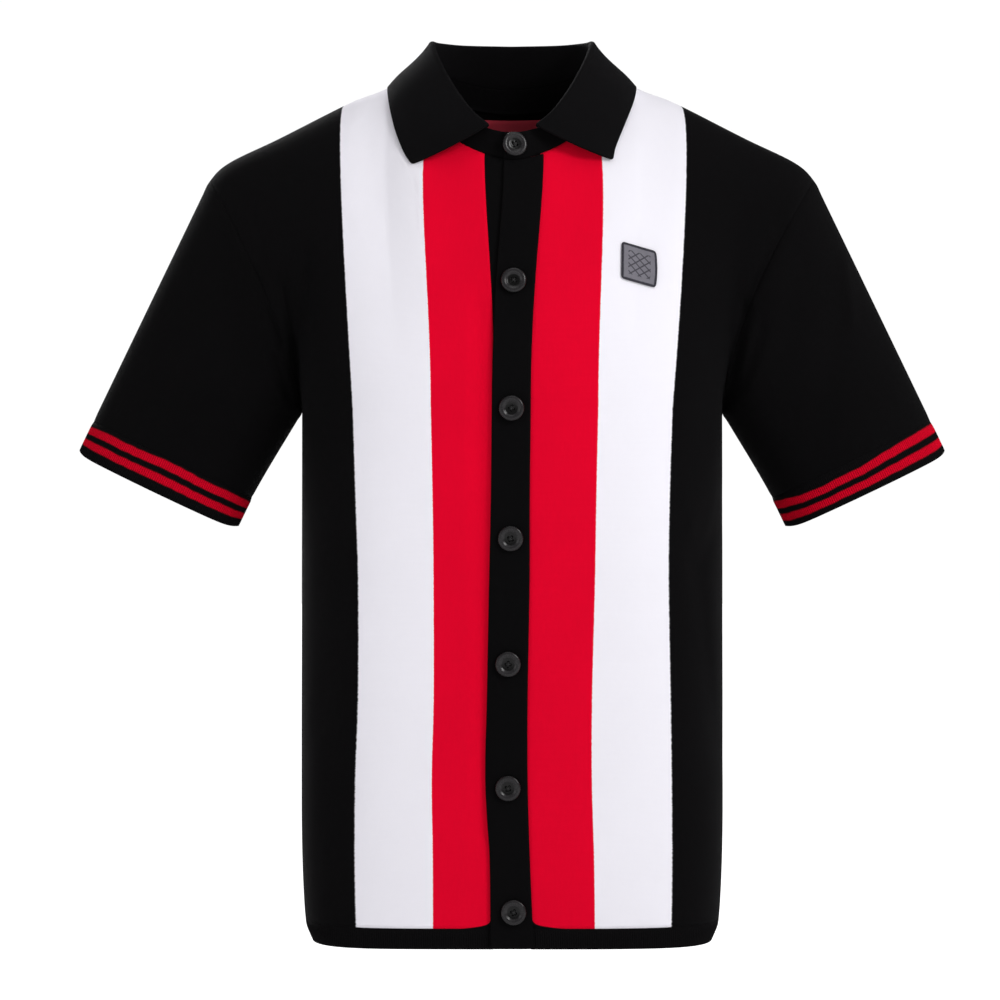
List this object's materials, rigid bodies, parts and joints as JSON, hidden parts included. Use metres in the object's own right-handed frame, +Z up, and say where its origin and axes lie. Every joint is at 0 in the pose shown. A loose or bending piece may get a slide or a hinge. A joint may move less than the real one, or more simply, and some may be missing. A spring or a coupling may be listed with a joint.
{
  "type": "polo shirt",
  "caption": "Short-sleeved knitted polo shirt with a fold-over collar, a full button front and upright colour panels, worn and filled out, hollow and open at neck, hem and cuffs.",
  "frame": {"origin": "on the centre line inside the neck, at the height where the shoulder seams reach the neckband", "axes": "+Z up, +X towards the wearer's left, -Y towards the front"},
  "size_m": [0.7198, 0.2427, 0.742],
  "materials": {
    "black_knit": "fine plain knit, matt",
    "white_knit": "fine plain knit, matt",
    "red_knit": "fine plain knit, matt",
    "striped_rib": "black rib with two red stripes",
    "black_rib": "ribbed knit, matt",
    "black_band": "doubled knit, matt",
    "black_collar": "dense knit, matt",
    "button": "dark grey, half gloss",
    "badge": "woven, with a stitched border",
    "label": "woven satin"
  },
  "bodies": {
    "root": {"front_right_side": "black_knit", "front_right_white": "white_knit", "front_right_red": "red_knit", "front_left_side": "black_knit", "front_left_white": "white_knit", "front_left_red": "red_knit", "back": "black_knit", "sleeve_right": "black_knit", "sleeve_left": "black_knit", "cuff_right": "striped_rib", "cuff_left": "striped_rib", "hem_front_right": "black_rib", "hem_front_left": "black_rib", "hem_back": "black_rib", "placket_under": "black_band", "placket_outer": "black_band", "neckband": "black_band", "collar": "black_collar", "button_1": "button", "button_2": "button", "button_3": "button", "button_4": "button", "button_5": "button", "button_6": "button", "button_7": "button", "chest_badge": "badge", "neck_label": "label"}
  },
  "joints": []
}
